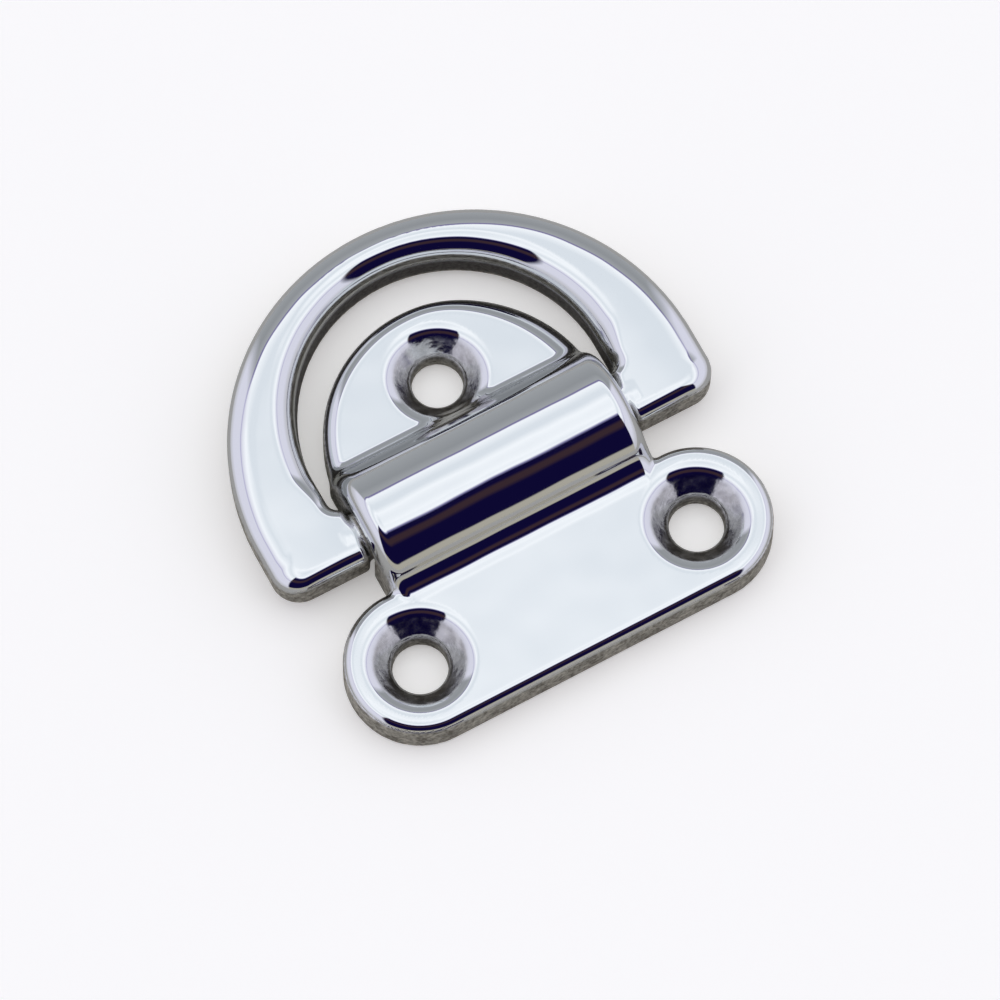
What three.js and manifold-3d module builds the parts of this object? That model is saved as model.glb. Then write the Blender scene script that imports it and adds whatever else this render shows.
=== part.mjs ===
// Folding deck pad eye: a cast base with a humped hinge barrel, and a D-ring that folds flat around its
// rear tongue. Millimetres, +Z up. The origin is on the underside, midway between the two front screw
// holes. +X runs along the hinge bar and +Y points from the front flange to the crown of the ring.

import * as THREE from 'three';
import { mergeVertices } from 'three/addons/utils/BufferGeometryUtils.js';
import Module from 'manifold-3d';

const wasm = await Module();
wasm.setup();

// Screw holes, for M6 countersunk screws
const SCREW_SPACING = 37;
const SCREW_RADIUS = 3.3;
const SINK_RADIUS = 6.15;
const REAR_SCREW_Y = 30.3;
const REAR_SCREW_RADIUS = 3.1;
const REAR_SINK_RADIUS = 5.9;

// Base casting
const PLATE_HEIGHT = 5.4;
const PLATE_EDGE = 0.7;
const FLANGE_END_RADIUS = 9.1;
const TONGUE_CENTRE_Y = 22.5;
const TONGUE_RADIUS = 17.3;
const TONGUE_FRONT_Y = 22;
const HUMP_CENTRE_Y = 16.7;
const HUMP_CENTRE_Z = 3;
const HUMP_RADIUS = 8.4;
const HUMP_FILLET = 4;
const HUMP_HALF_LENGTH = 17.35;
const HUMP_FOOT_HALF_LENGTH = 17.7;
const HUMP_END_ROUND = 1;

// Hinge: the bar turns in a channel that is open underneath
const HINGE_Y = 16.85;
const HINGE_Z = 4.3;
const BAR_RADIUS = 2.95;
const CHANNEL_RADIUS = 3.4;
const MOUTH_RADIUS = 5.4;
const MOUTH_DEPTH = 0.35;
const LEG_CLEARANCE = 0.3;

// D-ring
const RING_THICKNESS = 6.2;
const RING_RADIUS = 29.2;
const RING_CENTRE_Y = 21;
const RING_FRONT_Y = 13.3;
const RING_CORNER = 3.5;
const RING_EDGE = 1.4;
const EYE_RADIUS = 18.8;
const EYE_CENTRE_Y = 25.6;
const EYE_FRONT_Y = 20.9;
const EYE_CORNER = 1.5;
const EYE_TAPER = 0.6;

// Keeper strip that closes the channel under the bar, and its two weld beads
const KEEPER_HALF_LENGTH = 6;
const KEEPER_THICKNESS = 0.8;
const KEEPER_HALF_WIDTH = 5.2;
const BEAD_RADIUS = 0.4;
const BEAD_HALF_LENGTH = 3;
const GAP = 0.3;

const CHORD_ERROR = 0.02;
const PAST = 1;

// A solid for joins and cuts, from a closed three.js geometry.
function solid(geometry) {
  const bare = geometry.clone();
  bare.deleteAttribute('normal');
  bare.deleteAttribute('uv');
  const merged = mergeVertices(bare, 1e-5);
  return new wasm.Manifold(new wasm.Mesh({
    numProp: 3,
    vertProperties: new Float32Array(merged.attributes.position.array),
    triVerts: new Uint32Array(merged.index.array),
  }));
}

function geometryOf(manifold) {
  const mesh = manifold.getMesh();
  const geometry = new THREE.BufferGeometry();
  geometry.setAttribute('position', new THREE.BufferAttribute(mesh.vertProperties, 3));
  geometry.setIndex(new THREE.BufferAttribute(mesh.triVerts, 1));
  geometry.computeVertexNormals();
  return geometry;
}

// Points along an arc, as many as keep the chords within CHORD_ERROR of it.
function arcPoints(x, y, radius, from, to) {
  const step = 2 * Math.acos(1 - CHORD_ERROR / radius);
  const count = Math.max(2, Math.ceil(Math.abs(to - from) / step));
  const points = [];
  for (let i = 0; i <= count; i += 1) {
    const angle = from + ((to - from) * i) / count;
    points.push(new THREE.Vector2(x + radius * Math.cos(angle), y + radius * Math.sin(angle)));
  }
  return points;
}

function box(lowX, highX, lowY, highY, lowZ, highZ) {
  const geometry = new THREE.BoxGeometry(highX - lowX, highY - lowY, highZ - lowZ);
  geometry.translate((lowX + highX) / 2, (lowY + highY) / 2, (lowZ + highZ) / 2);
  return solid(geometry);
}

// A cylinder along X about the hinge axis.
function hingeCylinder(radius, lowX, highX) {
  const step = 2 * Math.acos(1 - CHORD_ERROR / radius);
  const sides = 4 * Math.ceil((2 * Math.PI) / step / 4);
  const geometry = new THREE.CylinderGeometry(radius, radius, highX - lowX, sides);
  geometry.rotateZ(Math.PI / 2);
  geometry.translate((lowX + highX) / 2, HINGE_Y, HINGE_Z);
  return solid(geometry);
}

// A slab on the outline from lowZ to highZ, with both edges rounded.
function roundedSlab(points, lowZ, highZ, edge) {
  const geometry = new THREE.ExtrudeGeometry(new THREE.Shape(points), {
    depth: highZ - lowZ - 2 * edge,
    bevelEnabled: true,
    bevelThickness: edge,
    bevelSize: edge,
    bevelOffset: -edge,
    bevelSegments: 3,
  });
  geometry.translate(0, 0, lowZ + edge);
  return solid(geometry);
}

// A base plate on the outline: flat underneath, with the top edge rounded.
function plate(points) {
  const slab = roundedSlab(points, -PLATE_HEIGHT, PLATE_HEIGHT, PLATE_EDGE);
  const reach = 100;
  return slab.subtract(box(-reach, reach, -reach, reach, -2 * PLATE_HEIGHT, 0));
}

function flange() {
  const x = SCREW_SPACING / 2;
  return plate([
    ...arcPoints(x, 0, FLANGE_END_RADIUS, -Math.PI / 2, Math.PI / 2),
    ...arcPoints(-x, 0, FLANGE_END_RADIUS, Math.PI / 2, (3 * Math.PI) / 2),
  ]);
}

function tongue() {
  const start = Math.asin((TONGUE_FRONT_Y - TONGUE_CENTRE_Y) / TONGUE_RADIUS);
  return plate(arcPoints(0, TONGUE_CENTRE_Y, TONGUE_RADIUS, start, Math.PI - start));
}

// The hump is its side profile, an arch with a hollow front fillet, drawn out along X and trimmed by
// its front view, a low block whose ends lean in towards the top.
function hump() {
  const filletZ = PLATE_HEIGHT + HUMP_FILLET;
  const reach = HUMP_RADIUS + HUMP_FILLET;
  const filletY = HUMP_CENTRE_Y - Math.sqrt(reach ** 2 - (filletZ - HUMP_CENTRE_Z) ** 2);
  const meet = Math.atan2(filletZ - HUMP_CENTRE_Z, filletY - HUMP_CENTRE_Y);
  const back = HUMP_CENTRE_Y + HUMP_RADIUS;
  const side = [
    new THREE.Vector2(filletY, 0),
    ...arcPoints(filletY, filletZ, HUMP_FILLET, -Math.PI / 2, meet - Math.PI),
    ...arcPoints(HUMP_CENTRE_Y, HUMP_CENTRE_Z, HUMP_RADIUS, meet, 0).slice(1),
    new THREE.Vector2(back, 0),
  ];
  const along = new THREE.ExtrudeGeometry(new THREE.Shape(side), {
    depth: 2 * HUMP_FOOT_HALF_LENGTH + 2,
    bevelEnabled: false,
  });
  along.translate(0, 0, -HUMP_FOOT_HALF_LENGTH - 1);
  along.rotateZ(Math.PI / 2);
  along.rotateY(Math.PI / 2);

  const top = HUMP_CENTRE_Z + HUMP_RADIUS;
  const corner = HUMP_HALF_LENGTH - HUMP_END_ROUND;
  const front = [
    new THREE.Vector2(-HUMP_FOOT_HALF_LENGTH, -PAST),
    new THREE.Vector2(HUMP_FOOT_HALF_LENGTH, -PAST),
    ...arcPoints(corner, top - HUMP_END_ROUND, HUMP_END_ROUND, 0, Math.PI / 2),
    ...arcPoints(-corner, top - HUMP_END_ROUND, HUMP_END_ROUND, Math.PI / 2, Math.PI),
  ];
  const across = new THREE.ExtrudeGeometry(new THREE.Shape(front), { depth: 60, bevelEnabled: false });
  across.rotateX(Math.PI / 2);
  across.translate(0, 45, 0);
  return solid(along).intersect(solid(across));
}

// The screw hole with its 90 degree countersink, as the shape to be cut away.
function screwHole(x, y, radius, sinkRadius) {
  const profile = [
    new THREE.Vector2(0, -PAST),
    new THREE.Vector2(radius, -PAST),
    new THREE.Vector2(radius, PLATE_HEIGHT - (sinkRadius - radius)),
    new THREE.Vector2(sinkRadius, PLATE_HEIGHT),
    new THREE.Vector2(sinkRadius, PLATE_HEIGHT + 3),
    new THREE.Vector2(0, PLATE_HEIGHT + 3),
  ];
  const geometry = new THREE.LatheGeometry(profile, 40);
  geometry.rotateX(Math.PI / 2);
  geometry.translate(x, y, 0);
  return solid(geometry);
}

// The channel is as wide as the bar needs, round over the bar and open underneath.
function channel() {
  const reach = HUMP_FOOT_HALF_LENGTH + PAST;
  const slot = box(-reach, reach, HINGE_Y - CHANNEL_RADIUS, HINGE_Y + CHANNEL_RADIUS, -PAST, HINGE_Z);
  return slot.add(hingeCylinder(CHANNEL_RADIUS, -reach, reach));
}

function keeperPocket() {
  const halfWidth = KEEPER_HALF_WIDTH + 2 * GAP + 2 * BEAD_RADIUS;
  const halfLength = KEEPER_HALF_LENGTH + GAP;
  const top = 2 * GAP + KEEPER_THICKNESS;
  return box(-halfLength, halfLength, HINGE_Y - halfWidth, HINGE_Y + halfWidth, -PAST, top);
}

function baseCasting() {
  const x = SCREW_SPACING / 2;
  const mouth = HUMP_HALF_LENGTH - MOUTH_DEPTH;
  const end = HUMP_FOOT_HALF_LENGTH + PAST;
  return flange()
    .add(tongue())
    .add(hump())
    .subtract(screwHole(x, 0, SCREW_RADIUS, SINK_RADIUS))
    .subtract(screwHole(-x, 0, SCREW_RADIUS, SINK_RADIUS))
    .subtract(screwHole(0, REAR_SCREW_Y, REAR_SCREW_RADIUS, REAR_SINK_RADIUS).subtract(hump()))
    .subtract(channel())
    .subtract(hingeCylinder(MOUTH_RADIUS, mouth, end))
    .subtract(hingeCylinder(MOUTH_RADIUS, -end, -mouth))
    .subtract(keeperPocket());
}

// The left half of a symmetric outline, from the points of its right half in reverse.
function mirrored(points) {
  return points.map((point) => new THREE.Vector2(-point.x, point.y)).reverse();
}

// The ring's outer outline, a half disc on straight sides.
function ringOutline() {
  const quarter = Math.PI / 2;
  const cornerX = RING_RADIUS - RING_CORNER;
  const right = [
    ...arcPoints(cornerX, RING_FRONT_Y + RING_CORNER, RING_CORNER, -quarter, 0),
    ...arcPoints(0, RING_CENTRE_Y, RING_RADIUS, 0, quarter),
  ];
  return [...right, ...mirrored(right).slice(1)];
}

// The eye as the shape to be cut away. It is smallest at the ring's underside and widens upwards.
function eye() {
  const quarter = Math.PI / 2;
  const cornerX = EYE_RADIUS - EYE_CORNER;
  const right = [
    ...arcPoints(cornerX, EYE_FRONT_Y + EYE_CORNER, EYE_CORNER, -quarter, 0),
    ...arcPoints(0, EYE_CENTRE_Y, EYE_RADIUS, 0, quarter),
  ];
  const outline = new THREE.Shape([...right, ...mirrored(right).slice(1)]);
  const low = HINGE_Z - RING_THICKNESS / 2;
  const taper = new THREE.ExtrudeGeometry(outline, {
    depth: PAST,
    bevelEnabled: true,
    bevelThickness: RING_THICKNESS,
    bevelSize: EYE_TAPER,
    bevelSegments: 1,
  });
  taper.translate(0, 0, low + RING_THICKNESS);
  const below = new THREE.ExtrudeGeometry(outline, { depth: 2 * PAST, bevelEnabled: false });
  below.translate(0, 0, low - PAST);
  return solid(taper).add(solid(below));
}

// Each leg ends at the hump, and the bar between the two legs is round.
function dRing() {
  const low = HINGE_Z - RING_THICKNESS / 2;
  const high = low + RING_THICKNESS;
  const legEnd = HUMP_HALF_LENGTH - MOUTH_DEPTH + LEG_CLEARANCE;
  const barEnd = HUMP_HALF_LENGTH + 1;
  return roundedSlab(ringOutline(), low, high, RING_EDGE)
    .subtract(eye())
    .subtract(box(-legEnd, legEnd, 0, EYE_CENTRE_Y, low - PAST, high + PAST))
    .add(hingeCylinder(BAR_RADIUS, -barEnd, barEnd));
}

function pinKeeper() {
  return box(
    -KEEPER_HALF_LENGTH,
    KEEPER_HALF_LENGTH,
    HINGE_Y - KEEPER_HALF_WIDTH,
    HINGE_Y + KEEPER_HALF_WIDTH,
    GAP / 2,
    GAP / 2 + KEEPER_THICKNESS,
  );
}

// A weld bead between the keeper's edge and the pocket wall; side is 1 at the rear, -1 at the front.
function weldBead(side) {
  const geometry = new THREE.CapsuleGeometry(BEAD_RADIUS, 2 * BEAD_HALF_LENGTH, 4, 12);
  geometry.rotateZ(Math.PI / 2);
  const y = HINGE_Y + side * (KEEPER_HALF_WIDTH + GAP + BEAD_RADIUS);
  geometry.translate(0, y, GAP / 2 + BEAD_RADIUS);
  return solid(geometry);
}

function named(name, manifold, color, roughness) {
  const material = new THREE.MeshStandardMaterial({ color, roughness, metalness: 1 });
  const mesh = new THREE.Mesh(geometryOf(manifold), material);
  mesh.name = name;
  return mesh;
}

const padEye = new THREE.Group();
padEye.add(named('base_casting', baseCasting(), 0xd4d6da, 0.08));
padEye.add(named('d_ring', dRing(), 0xd8dade, 0.08));
padEye.add(named('pin_keeper', pinKeeper(), 0x9c9a94, 0.45));
padEye.add(named('keeper_weld_front', weldBead(-1), 0x8a8680, 0.6));
padEye.add(named('keeper_weld_rear', weldBead(1), 0x8a8680, 0.6));

export default padEye;
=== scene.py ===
"""Looks of the folding deck pad eye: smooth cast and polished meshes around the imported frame.

Lengths in this file are millimetres, turned into metres where a mesh, light or camera is made. X runs
along the hinge bar, Y from the front flange to the crown of the folded ring, and Z up from the deck.
"""

import math

import bpy
import numpy as np
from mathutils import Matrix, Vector


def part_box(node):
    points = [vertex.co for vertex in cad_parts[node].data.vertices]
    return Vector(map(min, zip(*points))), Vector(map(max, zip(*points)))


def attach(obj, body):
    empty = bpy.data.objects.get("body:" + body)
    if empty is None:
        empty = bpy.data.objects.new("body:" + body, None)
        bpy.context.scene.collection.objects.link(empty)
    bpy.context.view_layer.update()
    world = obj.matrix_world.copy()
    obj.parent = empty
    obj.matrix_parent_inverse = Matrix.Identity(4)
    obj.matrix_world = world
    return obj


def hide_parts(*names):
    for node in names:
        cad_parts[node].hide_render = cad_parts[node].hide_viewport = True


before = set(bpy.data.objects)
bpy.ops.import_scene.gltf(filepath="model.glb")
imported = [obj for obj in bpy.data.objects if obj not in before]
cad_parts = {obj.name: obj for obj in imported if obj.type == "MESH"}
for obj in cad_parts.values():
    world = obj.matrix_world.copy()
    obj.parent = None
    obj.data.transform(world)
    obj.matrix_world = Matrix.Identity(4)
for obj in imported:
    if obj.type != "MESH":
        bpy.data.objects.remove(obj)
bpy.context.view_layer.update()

MM = 0.001
TINY = 1e-9


# Sizes of the object, as in the frame ----------------------------------------------------------------

# Screw holes: two in the flange, at either side, and one in the tongue
SCREW_X = 18.5
SCREW_RADIUS = 3.3
SINK_RADIUS = 6.1
REAR_SCREW_Y = 30.3
REAR_SCREW_RADIUS = 3.1
REAR_SINK_RADIUS = 5.8
SINK_RIM = 0.7
SINK_THROAT = 0.5

# Flange and tongue
PLATE_HEIGHT = 5.4
PLATE_DRAFT = 0.02
UNDERSIDE_EDGE = 0.25
FLANGE_END_RADIUS = 9.1
FLANGE_EDGE = 1.3
TONGUE_CENTRE_Y = 22.5
TONGUE_RADIUS = 17.3
TONGUE_EDGE = 2.2
TONGUE_WORN_EDGE = 3.9
TONGUE_WEAR_START_X = 2
TONGUE_WEAR_END_X = 15

# Hump
HUMP_CENTRE_Y = 16.7
HUMP_CENTRE_Z = 3.0
HUMP_RADIUS = 8.4
HUMP_HALF_LENGTH = 17.35
HUMP_FOOT_HALF_LENGTH = 17.7
HUMP_END_ROUND = 2.0
HUMP_FRONT_FILLET = 4.0
HUMP_BACK_FILLET = 1.2

# Hinge bar and its channel
HINGE_Y = 16.85
HINGE_Z = 4.3
BAR_RADIUS = 2.95
BAR_FILLET = 0.3
CHANNEL_RADIUS = 3.4

# Ring: a D-shaped band with two legs that point at each other
RING_THICKNESS = 6.2
RING_LOW_Z = HINGE_Z - RING_THICKNESS / 2
RING_HIGH_Z = HINGE_Z + RING_THICKNESS / 2
RING_RADIUS = 29.2
RING_CENTRE_Y = 21.0
RING_FRONT_Y = 13.3
RING_CORNER = 3.5
RING_CORNER_ZONE = 5.0
RING_TOP_EDGE = 1.8
RING_TOP_REACH = 3.7
RING_UNDER_EDGE = 1.4
RING_BAND = 10.4
RING_CROWN = 0.16
LEG_TOP_REACH = 1.9
LEG_CORNER = 0.8
LEG_CLEARANCE = 0.12
LEG_END_X = HUMP_FOOT_HALF_LENGTH + LEG_CLEARANCE

# Eye of the ring, wider towards the top
EYE_RADIUS = 18.8
EYE_CENTRE_Y = 25.6
EYE_FRONT_Y = 20.9
EYE_CORNER = 1.5
EYE_TAPER = 0.6
EYE_FRONT_EDGE = 1.5
EYE_TOP_EDGE = 2.8
EYE_TOP_EDGE_START_Y = EYE_FRONT_Y + 0.5
EYE_TOP_EDGE_END_Y = EYE_FRONT_Y + 6
EYE_UNDER_EDGE = 0.5

# Strip that keeps the hinge bar in its channel, and the weld beads along it
KEEPER_HALF_LENGTH = 6.0
KEEPER_HALF_WIDTH = 5.2
KEEPER_LOW_Z = 0.15
KEEPER_THICKNESS = 0.8
KEEPER_EDGE = 0.2
KEEPER_GAP = 0.3
BEAD_RADIUS = 0.4
BEAD_HALF_LENGTH = 3.0
BEAD_RIPPLE = 0.04
BEAD_RIPPLE_LENGTH = 0.75


# Solids as distance fields: negative inside, positive outside ------------------------------------------

def ramp(value, start, end):
    """0 at start, 1 at end, smooth in between."""
    share = np.clip((value - start) / (end - start), 0, 1)
    return share * share * (3 - 2 * share)


def both(a, b, edge):
    """What two solids share, with the edge between them rounded."""
    corner = np.hypot(np.maximum(a + edge, 0), np.maximum(b + edge, 0))
    return np.minimum(-edge, np.maximum(a, b)) + corner


def either(a, b, fillet):
    """Two solids joined, with a hollow fillet between them."""
    return -both(-a, -b, fillet)


def without(a, b, edge):
    """The first solid with the second cut out of it."""
    return both(a, -b, edge)


def screw_hole(x, y, z, centre_x, centre_y, radius, sink_radius):
    """A round hole with a 90 degree countersink."""
    out = np.hypot(x - centre_x, y - centre_y)
    cone = (out - sink_radius + np.maximum(PLATE_HEIGHT - z, 0)) / math.sqrt(2)
    return either(out - radius, cone, SINK_THROAT)


def screw_holes(x, y, z):
    front = screw_hole(np.abs(x), y, z, SCREW_X, 0, SCREW_RADIUS, SINK_RADIUS)
    rear = screw_hole(x, y, z, 0, REAR_SCREW_Y, REAR_SCREW_RADIUS, REAR_SINK_RADIUS)
    return np.minimum(front, rear)


def flange_wall(x, y, z):
    along = np.maximum(np.abs(x) - SCREW_X, 0)
    return np.hypot(along, y) - FLANGE_END_RADIUS + PLATE_DRAFT * z


def tongue_wall(x, y, z):
    return np.hypot(x, y - TONGUE_CENTRE_Y) - TONGUE_RADIUS + PLATE_DRAFT * z


def tongue_edge(x):
    """The tongue is polished away more at its right shoulder than elsewhere."""
    wear = ramp(x, TONGUE_WEAR_START_X, TONGUE_WEAR_END_X)
    return TONGUE_EDGE + (TONGUE_WORN_EDGE - TONGUE_EDGE) * wear


def plates(x, y, z):
    """The flange and the tongue with their screw holes."""
    top = z - PLATE_HEIGHT
    flange = both(top, flange_wall(x, y, z), FLANGE_EDGE)
    tongue = both(top, tongue_wall(x, y, z), tongue_edge(x))
    tongue = np.maximum(tongue, HUMP_CENTRE_Y - y)
    return without(np.minimum(flange, tongue), screw_holes(x, y, z), SINK_RIM)


def hump_end(x, z):
    """The hump's two ends, which lean in a little towards the top."""
    top = HUMP_CENTRE_Z + HUMP_RADIUS
    lean = (HUMP_FOOT_HALF_LENGTH - HUMP_HALF_LENGTH) / top
    return np.abs(x) - HUMP_FOOT_HALF_LENGTH + lean * z


def hump_arch(y, z):
    """The hump from the side: a half circle on two upright sides."""
    return np.hypot(y - HUMP_CENTRE_Y, np.maximum(z - HUMP_CENTRE_Z, 0)) - HUMP_RADIUS


def hump_run_out(y, z):
    """The front of the hump from the side, which runs out on the flange in a hollow fillet."""
    fillet_z = PLATE_HEIGHT + HUMP_FRONT_FILLET
    rise = fillet_z - HUMP_CENTRE_Z
    run = math.sqrt((HUMP_RADIUS + HUMP_FRONT_FILLET) ** 2 - rise ** 2)
    fillet_y = HUMP_CENTRE_Y - run
    below_arch = (z - fillet_z) * run < (fillet_y - y) * rise
    in_fillet = (y > fillet_y) & (y < HUMP_CENTRE_Y) & below_arch
    plate_top = z - PLATE_HEIGHT
    fillet = HUMP_FRONT_FILLET - np.hypot(y - fillet_y, z - fillet_z)
    fillet = np.where(z > 0, fillet, plate_top)
    return np.where(in_fillet, fillet, np.minimum(hump_arch(y, z), plate_top))


def hump_front(x, y, z):
    """The front half of the hump, and the part of the flange that it runs out on."""
    half = both(hump_run_out(y, z), hump_end(x, z), HUMP_END_ROUND)
    half = np.maximum(half, FLANGE_END_RADIUS / 2 - y)
    return without(half, screw_holes(x, y, z), SINK_RIM)


def hump_back(x, y, z):
    """The back half of the hump, joined to the tongue."""
    arch = both(hump_arch(y, z), hump_end(x, z), HUMP_END_ROUND)
    joined = either(plates(x, y, z), arch, HUMP_BACK_FILLET)
    return np.maximum(joined, np.minimum(tongue_wall(x, y, z), hump_end(x, z)))


def hinge_room(x, y, z):
    """The channel for the hinge bar, open underneath, and the pocket for the strip that keeps it in."""
    across = y - HINGE_Y
    channel = np.hypot(across, np.maximum(z - HINGE_Z, 0)) - CHANNEL_RADIUS
    half_width = KEEPER_HALF_WIDTH + 2 * KEEPER_GAP + 2 * BEAD_RADIUS
    pocket = np.maximum(np.abs(x) - KEEPER_HALF_LENGTH - KEEPER_GAP, np.abs(across) - half_width)
    pocket = np.maximum(pocket, z - 2 * KEEPER_GAP - KEEPER_THICKNESS)
    return np.minimum(channel, pocket)


def base_field(x, y, z):
    """The base casting: flange, hump and tongue in one."""
    front = np.minimum(plates(x, y, z), hump_front(x, y, z))
    body = np.where(y < HUMP_CENTRE_Y, front, hump_back(x, y, z))
    body = without(body, hinge_room(x, y, z), UNDERSIDE_EDGE)
    return both(body, -z, UNDERSIDE_EDGE)


def ring_side(x, y):
    """The outer side of the band: a half circle with straight ends."""
    return np.hypot(x, np.maximum(y - RING_CENTRE_Y, 0)) - RING_RADIUS


def top_reach(side, front):
    """How far in the rounded top edge reaches: further from the band's side than from the legs' front."""
    near_side = np.maximum(side + RING_CORNER_ZONE, 0) ** 2
    near_front = np.maximum(front + RING_CORNER_ZONE, 0) ** 2
    side_share = near_side / np.maximum(near_side + near_front, TINY)
    return LEG_TOP_REACH + (RING_TOP_REACH - LEG_TOP_REACH) * side_share


def ring_outside(x, y, z):
    """The ring without its opening; its top is a little higher along the middle of the band."""
    side = ring_side(x, y)
    front = RING_FRONT_Y - y
    wall = both(side, front, RING_CORNER)
    top = z - RING_HIGH_Z + RING_CROWN * (1 + 2 * np.clip(side / RING_BAND, -1, 0)) ** 2
    outside = both(wall * RING_TOP_EDGE / top_reach(side, front), top, RING_TOP_EDGE)
    return both(outside, RING_LOW_Z - z, RING_UNDER_EDGE)


def eye(x, y, z):
    """The hole through the ring."""
    spread = EYE_TAPER * (z - RING_LOW_Z) / RING_THICKNESS
    beyond = np.hypot(x, np.maximum(y - EYE_CENTRE_Y, 0)) - EYE_RADIUS - spread
    return both(beyond, EYE_FRONT_Y - spread - y, EYE_CORNER)


def opening(x, y, z):
    """The eye with the gap between the ends of the legs."""
    between_legs = np.maximum(np.abs(x) - LEG_END_X, y - EYE_CENTRE_Y)
    return either(eye(x, y, z), between_legs, LEG_CORNER)


def opening_edge(y, z):
    """How round the opening's edge is: most at the top of the eye, less on the legs, least underneath."""
    at_front = ramp(y, HINGE_Y, EYE_FRONT_Y)
    at_eye = ramp(y, EYE_TOP_EDGE_START_Y, EYE_TOP_EDGE_END_Y)
    top_edge = LEG_CORNER + (EYE_FRONT_EDGE - LEG_CORNER) * at_front
    top_edge = top_edge + (EYE_TOP_EDGE - EYE_FRONT_EDGE) * at_eye
    middle = RING_LOW_Z + RING_THICKNESS / 2
    return np.where(z > middle, top_edge, EYE_UNDER_EDGE)


def ring_field(x, y, z):
    """The D-ring and its hinge bar in one."""
    ring = without(ring_outside(x, y, z), opening(x, y, z), opening_edge(y, z))
    bar = np.hypot(y - HINGE_Y, z - HINGE_Z) - BAR_RADIUS
    bar = np.maximum(bar, np.abs(x) - LEG_END_X - 2 * LEG_CORNER)
    return either(ring, bar, BAR_FILLET)


def keeper_field(x, y, z):
    """A flat strip with rounded corners."""
    plan = both(np.abs(x) - KEEPER_HALF_LENGTH, np.abs(y - HINGE_Y) - KEEPER_HALF_WIDTH, 2 * KEEPER_EDGE)
    middle = KEEPER_LOW_Z + KEEPER_THICKNESS / 2
    return both(plan, np.abs(z - middle) - KEEPER_THICKNESS / 2, KEEPER_EDGE)


def bead_field(x, y, z, side):
    """A weld bead laid down as a row of overlapping ripples, in front of the strip or behind it."""
    centre_y = HINGE_Y + side * (KEEPER_HALF_WIDTH + KEEPER_GAP + BEAD_RADIUS)
    out = np.hypot(y - centre_y, z - KEEPER_LOW_Z - BEAD_RADIUS)
    ripple = BEAD_RIPPLE * np.cos(2 * math.pi * x / BEAD_RIPPLE_LENGTH)
    past = np.maximum(np.abs(x) - BEAD_HALF_LENGTH, 0)
    return np.hypot(out, past) - BEAD_RADIUS + BEAD_RIPPLE - ripple


def front_bead_field(x, y, z):
    return bead_field(x, y, z, -1)


def rear_bead_field(x, y, z):
    return bead_field(x, y, z, 1)


# Meshes from the fields ---------------------------------------------------------------------------------

CASTING_STEP = 0.3
KEEPER_STEP = 0.1
BEAD_STEP = 0.08
BASE_WEAR = 6
RING_WEAR = 3
GRID_MARGIN = 2.5
SLOPE_SPAN = 1e-3
LEAST_SLOPE_SQUARED = 0.05
SETTLE_ROUNDS = 3
EVEN_ROUNDS = 3
CREASE_START = 0.003
CREASE_FULL = 0.03
CREASE_SPREAD = 2
CELL_CORNERS = [(i, j, k) for i in (0, 1) for j in (0, 1) for k in (0, 1)]


def unit(vectors):
    """The vectors with their lengths made 1."""
    return vectors / np.maximum(np.linalg.norm(vectors, axis=-1), TINY)[:, None]


def gradient(field, points):
    slopes = []
    for axis in range(3):
        shift = np.zeros(3)
        shift[axis] = SLOPE_SPAN
        ahead = field(*(points + shift).T)
        behind = field(*(points - shift).T)
        slopes.append((ahead - behind) / (2 * SLOPE_SPAN))
    return np.stack(slopes, axis=-1)


def onto_surface(field, points, most, rounds):
    """Points moved on to the zero surface, no step longer than `most`."""
    for _ in range(rounds):
        slope = gradient(field, points)
        size = np.maximum((slope ** 2).sum(-1), LEAST_SLOPE_SQUARED)
        step = -(field(*points.T) / size)[:, None] * slope
        length = np.maximum(np.linalg.norm(step, axis=-1), TINY)
        points = points + step * np.minimum(1, most / length)[:, None]
    return points


def surface_cells(values):
    """The grid cells that the surface passes through, and a grid with the number of each."""
    inside = values < 0
    size = np.array(inside.shape) - 1
    count = np.zeros(size, int)
    for i, j, k in CELL_CORNERS:
        count += inside[i:size[0] + i, j:size[1] + j, k:size[2] + k]
    mixed = (count > 0) & (count < len(CELL_CORNERS))
    cells = np.argwhere(mixed)
    index = np.full(mixed.shape, -1)
    index[mixed] = np.arange(len(cells))
    return cells, index


def cell_points(values, cells, low, step):
    """The mean place where the surface crosses the edges of each cell."""
    total = np.zeros((len(cells), 3))
    count = np.zeros(len(cells))
    for a in np.array(CELL_CORNERS):
        for axis in range(3):
            if a[axis]:
                continue
            b = a.copy()
            b[axis] = 1
            first = values[tuple((cells + a).T)]
            second = values[tuple((cells + b).T)]
            cut = (first < 0) != (second < 0)
            share = first[cut] / (first[cut] - second[cut])
            total[cut] += a + share[:, None] * (b - a)
            count[cut] += 1
    return low + step * (cells + total / count[:, None])


def quads_of(values, index):
    """One face for each grid edge that crosses the surface, facing outwards."""
    inside = values < 0
    faces = []
    for axis in range(3):
        u, v = (axis + 1) % 3, (axis + 2) % 3
        low_side = [slice(1, -1)] * 3
        high_side = [slice(1, -1)] * 3
        low_side[axis] = slice(0, -1)
        high_side[axis] = slice(1, None)
        start = inside[tuple(low_side)]
        end = inside[tuple(high_side)]
        offset = np.ones(3, int)
        offset[axis] = 0
        at = np.argwhere(start != end) + offset
        leaving = start[start != end]
        loop = []
        for du, dv in ((-1, -1), (0, -1), (0, 0), (-1, 0)):
            cell = at.copy()
            cell[:, u] += du
            cell[:, v] += dv
            loop.append(index[tuple(cell.T)])
        loop = np.stack(loop, axis=-1)
        faces.append(np.where(leaving[:, None], loop, loop[:, ::-1]))
    return np.concatenate(faces)


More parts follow.
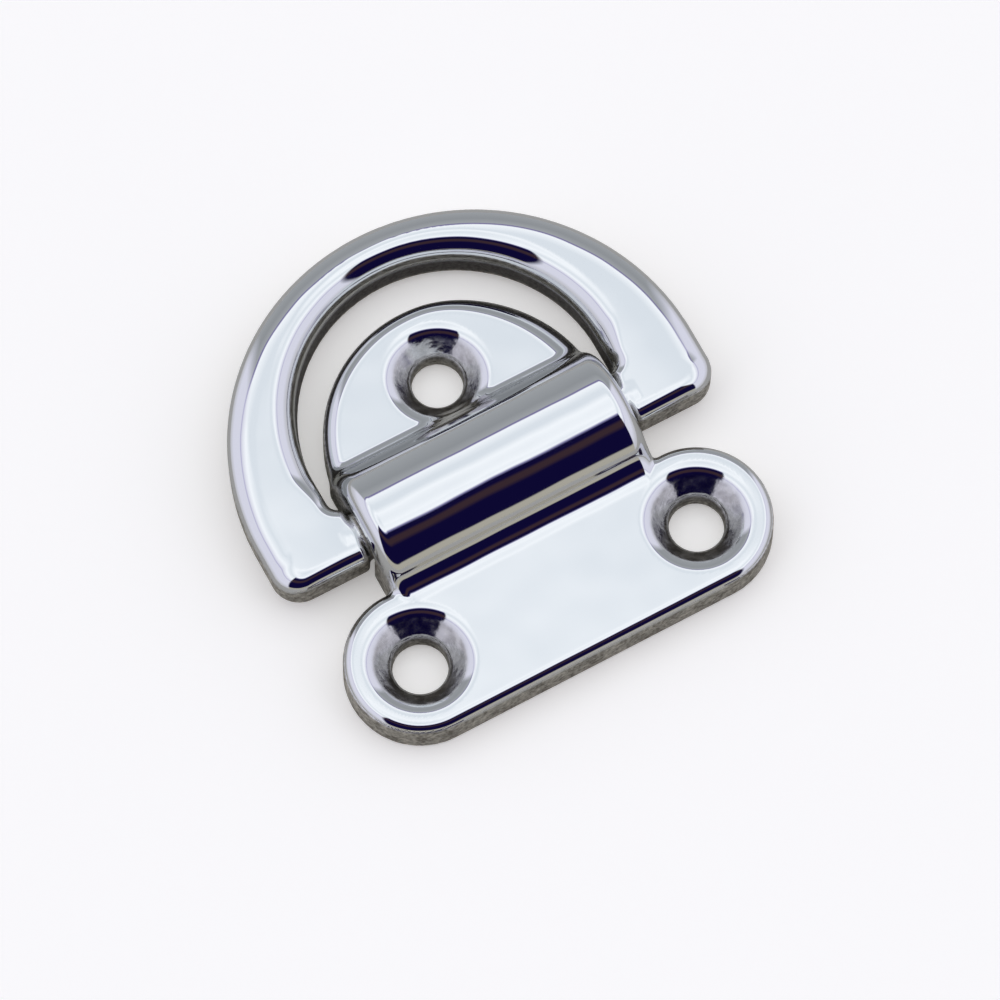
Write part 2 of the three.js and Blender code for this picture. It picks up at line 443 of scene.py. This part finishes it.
def neighbours(faces, values):
    """The mean of each vertex's neighbours along the edges."""
    total = np.zeros_like(values)
    count = np.zeros(len(values))
    for a, b in ((0, 1), (1, 2), (2, 3), (3, 0)):
        np.add.at(total, faces[:, a], values[faces[:, b]])
        np.add.at(total, faces[:, b], values[faces[:, a]])
        np.add.at(count, faces[:, a], 1)
        np.add.at(count, faces[:, b], 1)
    return total / count[:, None]


def evened(field, points, faces, step):
    """Points spread evenly over the surface: each moves towards its neighbours, then back on to it."""
    for _ in range(EVEN_ROUNDS):
        points = points + 0.5 * (neighbours(faces, points) - points)
        points = onto_surface(field, points, 0.5 * step, 2)
    return points


def softened(points, normals, faces, rounds):
    """Creases worn round, as polishing leaves them: more where neighbouring normals disagree."""
    for _ in range(rounds):
        mean = neighbours(faces, normals)
        disagreement = 1 - np.linalg.norm(mean, axis=-1)
        crease = ramp(disagreement, CREASE_START, CREASE_FULL)[:, None]
        for _ in range(CREASE_SPREAD):
            crease = np.maximum(crease, neighbours(faces, crease))
        points = points + 0.5 * crease * (neighbours(faces, points) - points)
        normals = unit(normals + crease * (mean - normals))
    return points, normals


def mesh_object(name, points, faces, normals):
    mesh = bpy.data.meshes.new(name)
    mesh.from_pydata((points * MM).tolist(), [], faces.tolist())
    mesh.validate()
    mesh.shade_smooth()
    mesh.normals_split_custom_set_from_vertices(normals.tolist())
    piece = bpy.data.objects.new(name, mesh)
    bpy.context.scene.collection.objects.link(piece)
    return piece


def solid_mesh(name, field, node, step, wear=0):
    """A closed mesh of the field, its normals taken from the field so that it mirrors cleanly."""
    low, high = [np.array(corner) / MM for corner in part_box(node)]
    low = low - GRID_MARGIN * step
    high = high + GRID_MARGIN * step
    grid = np.meshgrid(*[np.arange(a, b, step) for a, b in zip(low, high)], indexing="ij")
    values = field(*grid)
    cells, index = surface_cells(values)
    faces = quads_of(values, index)
    points = cell_points(values, cells, low, step)
    points = onto_surface(field, points, step, SETTLE_ROUNDS)
    points = evened(field, points, faces, step)
    normals = unit(gradient(field, points))
    points, normals = softened(points, normals, faces, wear)
    return mesh_object(name, points, faces, normals), points, normals


# Materials ------------------------------------------------------------------------------------------------

CAST_DARK = (0.17, 0.155, 0.125, 1)
CAST_LIGHT = (0.58, 0.55, 0.48, 1)
CAST_METALLIC = 0.35
CAST_ROUGHNESS = 0.6
# Near-black painted shade, laid over the cast colour on the walls of the screw bores and of the ring's eye
PAINTED_SHADE_COLOUR = (0.035, 0.03, 0.028, 1)
SINK_DARK = (0.36, 0.355, 0.36, 1)
SINK_LIGHT = (0.56, 0.555, 0.56, 1)
SINK_SMOOTH = 0.09
SINK_ROUGH = 0.2
POLISHED_COLOUR = (0.66, 0.67, 0.685, 1)
POLISHED_SMOOTH = 0.03
POLISHED_ROUGH = 0.06

# Sizes of the features in the steel's noise
GRAIN_SIZE = 0.5
BLOTCH_SIZE = 1.7
SPECK_SIZE = 0.2
CLOUD_SIZE = 1.3
SMEAR_SIZE = 5.0
WAVE_SIZE = 9.0
DENT_SIZE = 1.1

# Depths of its bumps
WAVE_DEPTH = 0.12
DENT_DEPTH = 0.035
GRAIN_DEPTH = 0.2


def new_material(name):
    material = bpy.data.materials.new(name)
    material.use_nodes = True
    tree = material.node_tree
    tree.nodes.clear()
    output = tree.nodes.new("ShaderNodeOutputMaterial")
    shader = tree.nodes.new("ShaderNodeBsdfPrincipled")
    tree.links.new(shader.outputs["BSDF"], output.inputs["Surface"])
    return material, tree, shader


def feed(tree, value, socket):
    """A number, a colour or another node's output, put into a socket."""
    if isinstance(value, (int, float, tuple)):
        socket.default_value = value
    else:
        tree.links.new(value, socket)


def noise(tree, size, detail):
    """Noise with features of that size on the object."""
    place = tree.nodes.new("ShaderNodeTexCoord")
    texture = tree.nodes.new("ShaderNodeTexNoise")
    texture.inputs["Scale"].default_value = 1 / (size * MM)
    texture.inputs["Detail"].default_value = detail
    tree.links.new(place.outputs["Object"], texture.inputs["Vector"])
    return texture.outputs["Fac"]


def spread(tree, value, low, high, to_low, to_high):
    """The value with low and high moved to two other numbers."""
    node = tree.nodes.new("ShaderNodeMapRange")
    node.inputs["From Min"].default_value = low
    node.inputs["From Max"].default_value = high
    node.inputs["To Min"].default_value = to_low
    node.inputs["To Max"].default_value = to_high
    tree.links.new(value, node.inputs["Value"])
    return node.outputs["Result"]


def maths(tree, kind, a, b=0):
    node = tree.nodes.new("ShaderNodeMath")
    node.operation = kind
    feed(tree, a, node.inputs[0])
    feed(tree, b, node.inputs[1])
    return node.outputs["Value"]


def painted(tree, name):
    """The number that `paint` put on each vertex under that name."""
    node = tree.nodes.new("ShaderNodeAttribute")
    node.attribute_name = name
    return node.outputs["Fac"]


def blended(tree, share, first, second, kind="RGBA"):
    """The first input where share is 0, the second where it is 1."""
    node = tree.nodes.new("ShaderNodeMix")
    node.data_type = kind
    socket_type = {"RGBA": "RGBA", "FLOAT": "VALUE"}[kind]
    factor = next(s for s in node.inputs if s.name == "Factor" and s.type == "VALUE")
    start = next(s for s in node.inputs if s.name == "A" and s.type == socket_type)
    end = next(s for s in node.inputs if s.name == "B" and s.type == socket_type)
    tree.links.new(share, factor)
    feed(tree, first, start)
    feed(tree, second, end)
    return next(s for s in node.outputs if s.type == socket_type)


def bump(tree, height, depth, before=None):
    node = tree.nodes.new("ShaderNodeBump")
    node.inputs["Distance"].default_value = depth * MM
    tree.links.new(height, node.inputs["Height"])
    if before is not None:
        tree.links.new(before, node.inputs["Normal"])
    return node.outputs["Normal"]


def steel_colour(tree, cast, sink, painted_shade, grain, cloud):
    blotch = noise(tree, BLOTCH_SIZE, 3)
    mottled = maths(tree, "ADD", maths(tree, "MULTIPLY", grain, 0.6), maths(tree, "MULTIPLY", blotch, 0.4))
    dark_to_light = spread(tree, mottled, 0.38, 0.62, 0, 1)
    cast_colour = blended(tree, dark_to_light, CAST_DARK, CAST_LIGHT)
    # Painted shade: the cast colour is darkened towards near black where the painted shade mask is
    cast_colour = blended(tree, painted_shade, cast_colour, PAINTED_SHADE_COLOUR)
    sink_colour = blended(tree, cloud, SINK_DARK, SINK_LIGHT)
    colour = blended(tree, sink, POLISHED_COLOUR, sink_colour)
    return blended(tree, cast, colour, cast_colour)


def steel_roughness(tree, cast, sink, cloud):
    smear = spread(tree, noise(tree, SMEAR_SIZE, 2), 0.3, 0.7, POLISHED_SMOOTH, POLISHED_ROUGH)
    sink_rough = spread(tree, cloud, 0, 1, SINK_SMOOTH, SINK_ROUGH)
    rough = blended(tree, sink, smear, sink_rough, "FLOAT")
    return blended(tree, cast, rough, CAST_ROUGHNESS, "FLOAT")


def steel_normal(tree, cast, sink, grain):
    """Broad waves left by polishing, dents in the countersinks, and grain on the cast walls."""
    waves = bump(tree, noise(tree, WAVE_SIZE, 1), WAVE_DEPTH)
    dents = maths(tree, "MULTIPLY", noise(tree, DENT_SIZE, 2), sink)
    dented = bump(tree, dents, DENT_DEPTH, waves)
    speck = noise(tree, SPECK_SIZE, 2)
    rough_grain = maths(tree, "ADD", grain, maths(tree, "MULTIPLY", speck, 0.4))
    return bump(tree, maths(tree, "MULTIPLY", rough_grain, cast), GRAIN_DEPTH, dented)


def cast_steel():
    """Cast stainless steel: mirror-polished, cloudy in the countersinks, left grainy on the cast walls."""
    material, tree, shader = new_material("cast_stainless")
    cast = painted(tree, "cast")
    sink = painted(tree, "sink")
    # Where shade is painted on to the steel
    painted_shade = painted(tree, "painted_shade")
    grain = noise(tree, GRAIN_SIZE, 3)
    cloud = spread(tree, noise(tree, CLOUD_SIZE, 3), 0.35, 0.65, 0, 1)
    tree.links.new(steel_colour(tree, cast, sink, painted_shade, grain, cloud), shader.inputs["Base Color"])
    tree.links.new(spread(tree, cast, 0, 1, 1, CAST_METALLIC), shader.inputs["Metallic"])
    tree.links.new(steel_roughness(tree, cast, sink, cloud), shader.inputs["Roughness"])
    tree.links.new(steel_normal(tree, cast, sink, grain), shader.inputs["Normal"])
    return material


def mottled_steel(name, dark, light, smooth, rough, size, depth):
    """Unpolished steel that is rougher and higher where it is lighter."""
    material, tree, shader = new_material(name)
    share = spread(tree, noise(tree, size, 4), 0.35, 0.65, 0, 1)
    tree.links.new(blended(tree, share, dark, light), shader.inputs["Base Color"])
    tree.links.new(spread(tree, share, 0, 1, smooth, rough), shader.inputs["Roughness"])
    tree.links.new(bump(tree, share, depth), shader.inputs["Normal"])
    shader.inputs["Metallic"].default_value = 1.0
    return material


# Pieces ----------------------------------------------------------------------------------------------------

# Soft borders of the cast and countersunk areas and of the painted shade, each from its start to its end
BASE_LEVEL = (0.30, 0.55)
FLANGE_WALL_TOP = (PLATE_HEIGHT - FLANGE_EDGE - 0.1, PLATE_HEIGHT - 0.5)
HUMP_END_SKIN = (0.35, 0.05)
HUMP_END_TOP = (5.5, 9.0)
HOLE_SKIN = (-0.25, -0.05)
HOLE_TOP = (0, 0.3)
SINK_TOP = (0.3, 0.9)
UNDERSIDE_LEVEL = (0.3, 0.6)
# Painted shade on the walls of the screw bores: where it starts and is full up the wall, and how dark it
# gets
BORE_SHADE_HEIGHT = (0.5, 3.0)
BORE_PAINTED_SHADE = 0.6

RING_LEVEL = (0.12, 0.45)
BAND_WALL_TOP = (RING_HIGH_Z - 2.2, RING_HIGH_Z - 1.6)
EYE_WALL_TOP = (RING_HIGH_Z - 3.4, RING_HIGH_Z - 2.7)
LEG_FRONT_SKIN = (RING_FRONT_Y + 0.3, RING_FRONT_Y + 1.0)
LEG_FRONT_TOP = (RING_HIGH_Z - 1.4, RING_HIGH_Z - 1.1)
BAR_ENDS = (0.0, 0.4)
EYE_SKIN = (0.9, 0.3)
# Painted shade on the back of the eye's wall: where it starts and is full up the wall, from where along Y,
# and how dark it gets
EYE_SHADE_HEIGHT = (RING_LOW_Z + 0.4, RING_LOW_Z + 1)
EYE_SHADE_START_Y = EYE_FRONT_Y - 1
EYE_PAINTED_SHADE = 0.85


def paint(piece, name, values):
    """A number on each vertex, from 0 to 1, for the material to read."""
    layer = piece.data.attributes.new(name, "FLOAT", "POINT")
    layer.data.foreach_set("value", np.clip(values, 0, 1).astype(np.float32))


def finish_piece(piece, material, body, node):
    piece.data.materials.append(material)
    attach(piece, body)
    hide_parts(node)


def make_base(material):
    piece, points, normals = solid_mesh("pad_eye_base", base_field, "base_casting", CASTING_STEP, BASE_WEAR)
    x, y, z = points.T
    depth = PLATE_HEIGHT - z
    upright = 1 - ramp(np.abs(normals[:, 2]), *BASE_LEVEL)
    low_wall = 1 - ramp(z, *FLANGE_WALL_TOP)
    end_wall = ramp(-hump_end(x, z), *HUMP_END_SKIN) * (1 - ramp(z, *HUMP_END_TOP))
    in_hole = ramp(-screw_holes(x, y, z), *HOLE_SKIN) * ramp(depth, *HOLE_TOP)
    in_bore = in_hole * upright
    outside = (1 - in_hole) * upright * np.maximum(low_wall, end_wall)
    under = ramp(-normals[:, 2], *UNDERSIDE_LEVEL)
    paint(piece, "cast", np.maximum(np.maximum(outside, in_bore), under))
    paint(piece, "sink", in_hole * (1 - upright) * ramp(depth, *SINK_TOP))
    # Painted shade on the walls of the screw bores, stronger higher up the wall
    paint(piece, "painted_shade", BORE_PAINTED_SHADE * in_bore * ramp(z, *BORE_SHADE_HEIGHT))
    finish_piece(piece, material, "base", "base_casting")


def make_ring(material):
    piece, points, normals = solid_mesh("pad_eye_ring", ring_field, "d_ring", CASTING_STEP, RING_WEAR)
    x, y, z = points.T
    upright = 1 - ramp(normals[:, 2], *RING_LEVEL)
    on_band_side = ring_side(x, y) > -RING_BAND / 2
    low_wall = np.where(on_band_side, 1 - ramp(z, *BAND_WALL_TOP), 1 - ramp(z, *EYE_WALL_TOP))
    leg_front = (1 - ramp(y, *LEG_FRONT_SKIN)) * (1 - ramp(z, *LEG_FRONT_TOP))
    bar = ramp(LEG_END_X - np.abs(x), *BAR_ENDS) * (y < EYE_FRONT_Y)
    eye_wall = ramp(eye(x, y, z), *EYE_SKIN) * upright * (y > EYE_SHADE_START_Y)
    paint(piece, "cast", np.maximum(upright * np.maximum(low_wall, leg_front), bar))
    paint(piece, "sink", np.zeros(len(x)))
    # Painted shade on the eye's wall, left off along its bottom edge
    paint(piece, "painted_shade", EYE_PAINTED_SHADE * eye_wall * ramp(z, *EYE_SHADE_HEIGHT))
    finish_piece(piece, material, "ring", "d_ring")


def make_keeper():
    material = mottled_steel(
        "keeper_strip", dark=(0.30, 0.29, 0.28, 1), light=(0.46, 0.45, 0.43, 1),
        smooth=0.3, rough=0.45, size=0.8, depth=0.02,
    )
    piece, _, _ = solid_mesh("keeper_strip", keeper_field, "pin_keeper", KEEPER_STEP)
    finish_piece(piece, material, "base", "pin_keeper")


def make_weld_beads():
    material = mottled_steel(
        "weld_bead", dark=(0.16, 0.14, 0.12, 1), light=(0.42, 0.40, 0.38, 1),
        smooth=0.4, rough=0.6, size=0.3, depth=0.03,
    )
    for place, field in (("front", front_bead_field), ("rear", rear_bead_field)):
        node = f"keeper_weld_{place}"
        piece, _, _ = solid_mesh(f"weld_bead_{place}", field, node, BEAD_STEP)
        finish_piece(piece, material, "base", node)


# Camera and floor --------------------------------------------------------------------------------------

CAMERA_AZIMUTH = math.radians(-28.4)
CAMERA_ELEVATION = math.radians(70.5)
CAMERA_DISTANCE = 660.0
CAMERA_TARGET = (-0.74, 13.24, 4.0)
CAMERA_LENS = 201.5
FLOOR_REACH = 3000.0
FLOOR_DROP = 0.02
FLOOR_COLOUR = (0.86, 0.84, 0.81, 1)
FLOOR_GLOW = (1, 0.98, 0.95, 1)
FLOOR_GLOW_STRENGTH = 0.3
FLOOR_IN_STEEL = (0.62, 0.60, 0.54, 1)


def make_camera():
    back = Vector((
        math.sin(CAMERA_AZIMUTH) * math.cos(CAMERA_ELEVATION),
        -math.cos(CAMERA_AZIMUTH) * math.cos(CAMERA_ELEVATION),
        math.sin(CAMERA_ELEVATION),
    ))
    camera = bpy.data.objects.new("camera", bpy.data.cameras.new("camera"))
    bpy.context.scene.collection.objects.link(camera)
    camera.data.lens = CAMERA_LENS
    camera.data.clip_start = 0.01
    camera.data.clip_end = 20
    camera.location = (Vector(CAMERA_TARGET) + back * CAMERA_DISTANCE) * MM
    camera.rotation_mode = "QUATERNION"
    camera.rotation_quaternion = (-back).to_track_quat("-Z", "Y")
    bpy.context.scene.camera = camera


def seen_or_mirrored(tree, seen, mirrored, output):
    """One shader for what is seen directly, another for what lights the steel and shows in it."""
    path = tree.nodes.new("ShaderNodeLightPath")
    mix = tree.nodes.new("ShaderNodeMixShader")
    tree.links.new(path.outputs["Is Camera Ray"], mix.inputs["Fac"])
    tree.links.new(mirrored, mix.inputs[1])
    tree.links.new(seen, mix.inputs[2])
    tree.links.new(mix.outputs["Shader"], output.inputs["Surface"])


def make_floor():
    """A plain white floor, which the polished steel mirrors as a warm pale grey."""
    reach = FLOOR_REACH * MM
    corners = [(-reach, -reach, 0), (reach, -reach, 0), (reach, reach, 0), (-reach, reach, 0)]
    mesh = bpy.data.meshes.new("floor")
    mesh.from_pydata(corners, [], [(0, 1, 2, 3)])
    floor = bpy.data.objects.new("floor", mesh)
    floor.location.z = -FLOOR_DROP * MM
    bpy.context.scene.collection.objects.link(floor)
    material, tree, shader = new_material("floor_white")
    shader.inputs["Roughness"].default_value = 0.9
    shader.inputs["Specular IOR Level"].default_value = 0.0
    shader.inputs["Base Color"].default_value = FLOOR_COLOUR
    shader.inputs["Emission Color"].default_value = FLOOR_GLOW
    shader.inputs["Emission Strength"].default_value = FLOOR_GLOW_STRENGTH
    mirrored = tree.nodes.new("ShaderNodeBsdfDiffuse")
    mirrored.inputs["Color"].default_value = FLOOR_IN_STEEL
    output = next(n for n in tree.nodes if n.type == "OUTPUT_MATERIAL")
    seen_or_mirrored(tree, shader.outputs["BSDF"], mirrored.outputs["BSDF"], output)
    mesh.materials.append(material)


# Studio room -------------------------------------------------------------------------------------------

ROOM_AZIMUTH = math.radians(-21.4)
BACKGROUND = (0.965, 0.965, 0.965, 1)
WHITE = (1.34, 1.38, 1.42)
SOFT_WHITE = (1.04, 1.11, 1.18)
LINE = (0.25, 0.22, 0.46)
GREY = (0.50, 0.52, 0.54)
DARK_GREY = (0.40, 0.42, 0.44)
SIDE_GREY = (0.62, 0.62, 0.62)
PALE = (0.98, 0.98, 1.12)
LILAC = (0.6, 0.58, 0.85)
BEIGE = (0.56, 0.53, 0.45)
BROWN = (0.055, 0.03, 0.04)
NAVY = (0.006, 0.004, 0.045)
PANEL_EDGE = (0.3, 0.28, 0.55)

# Colours from straight down, -90 degrees, over the horizon, 0, to straight up, 90
ROOM_BEHIND = [
    (-90, BEIGE), (-5, GREY), (30, DARK_GREY), (43, GREY), (44.5, LINE), (46, LINE), (47.5, WHITE),
    (62, SOFT_WHITE), (68, SOFT_WHITE), (76, WHITE), (90, SOFT_WHITE),
]
ROOM_SIDES = [
    (-90, BEIGE), (-5, SIDE_GREY), (20, PALE), (43, PALE), (45, LILAC), (47, PALE),
    (56, WHITE), (66, SOFT_WHITE), (76, WHITE), (90, SOFT_WHITE),
]
ROOM_IN_FRONT = [
    (-90, BEIGE), (10, BEIGE), (12.5, NAVY), (42, NAVY), (48, BROWN), (54, BROWN), (58, NAVY), (64, NAVY),
    (66.5, PANEL_EDGE), (69, WHITE), (90, SOFT_WHITE),
]

# Soft borders of the front and the back of the room, by the cosine of the angle from straight ahead
FRONT_BORDER = (0.775, 0.825)
BEHIND_BORDER = (-0.70, -0.78)
FRONT_WIDENING = 0.24


def colour_ramp(tree, value, stops):
    """Colour by height above the horizon, from stops of degrees and colour."""
    node = tree.nodes.new("ShaderNodeValToRGB")
    elements = node.color_ramp.elements
    elements.remove(elements[1])
    elements[0].position = 0
    elements[0].color = (*stops[0][1], 1)
    for degrees, colour in stops[1:]:
        elements.new(0.5 + degrees / 180).color = (*colour, 1)
    tree.links.new(value, node.inputs["Fac"])
    return node.outputs["Color"]


def vector_maths(tree, kind, vector, other=None):
    node = tree.nodes.new("ShaderNodeVectorMath")
    node.operation = kind
    tree.links.new(vector, node.inputs[0])
    if other is not None:
        node.inputs[1].default_value = other
    return node


def room_colour(tree):
    """Bright ceiling, light screens to the left and right, a grey wall behind, darkness in front."""
    direction = tree.nodes.new("ShaderNodeTexCoord").outputs["Generated"]
    axes = tree.nodes.new("ShaderNodeSeparateXYZ")
    tree.links.new(direction, axes.inputs["Vector"])
    up = axes.outputs["Z"]
    height = maths(tree, "DIVIDE", maths(tree, "ARCSINE", up), math.pi)
    height = maths(tree, "ADD", height, 0.5)
    level = vector_maths(tree, "MULTIPLY", direction, (1, 1, 0)).outputs["Vector"]
    level = vector_maths(tree, "NORMALIZE", level).outputs["Vector"]
    ahead = (math.sin(ROOM_AZIMUTH), -math.cos(ROOM_AZIMUTH), 0)
    facing = vector_maths(tree, "DOT_PRODUCT", level, ahead).outputs["Value"]
    wider_facing = maths(tree, "ADD", facing, maths(tree, "MULTIPLY", up, FRONT_WIDENING))
    in_front = spread(tree, wider_facing, *FRONT_BORDER, 0, 1)
    behind = spread(tree, facing, *BEHIND_BORDER, 0, 1)
    sides = colour_ramp(tree, height, ROOM_SIDES)
    room = blended(tree, in_front, sides, colour_ramp(tree, height, ROOM_IN_FRONT))
    return blended(tree, behind, room, colour_ramp(tree, height, ROOM_BEHIND))


def make_world():
    """A studio room around the object, with a plain pale background where the camera sees past it."""
    world = bpy.data.worlds.new("studio")
    bpy.context.scene.world = world
    world.use_nodes = True
    tree = world.node_tree
    tree.nodes.clear()
    room = tree.nodes.new("ShaderNodeBackground")
    tree.links.new(room_colour(tree), room.inputs["Color"])
    plain = tree.nodes.new("ShaderNodeBackground")
    plain.inputs["Color"].default_value = BACKGROUND
    output = tree.nodes.new("ShaderNodeOutputWorld")
    seen_or_mirrored(tree, plain.outputs["Background"], room.outputs["Background"], output)


make_camera()
make_floor()
make_world()
polished_casting = cast_steel()
make_base(polished_casting)
make_ring(polished_casting)
make_keeper()
make_weld_beads()
bpy.context.scene.view_settings.view_transform = "Standard"
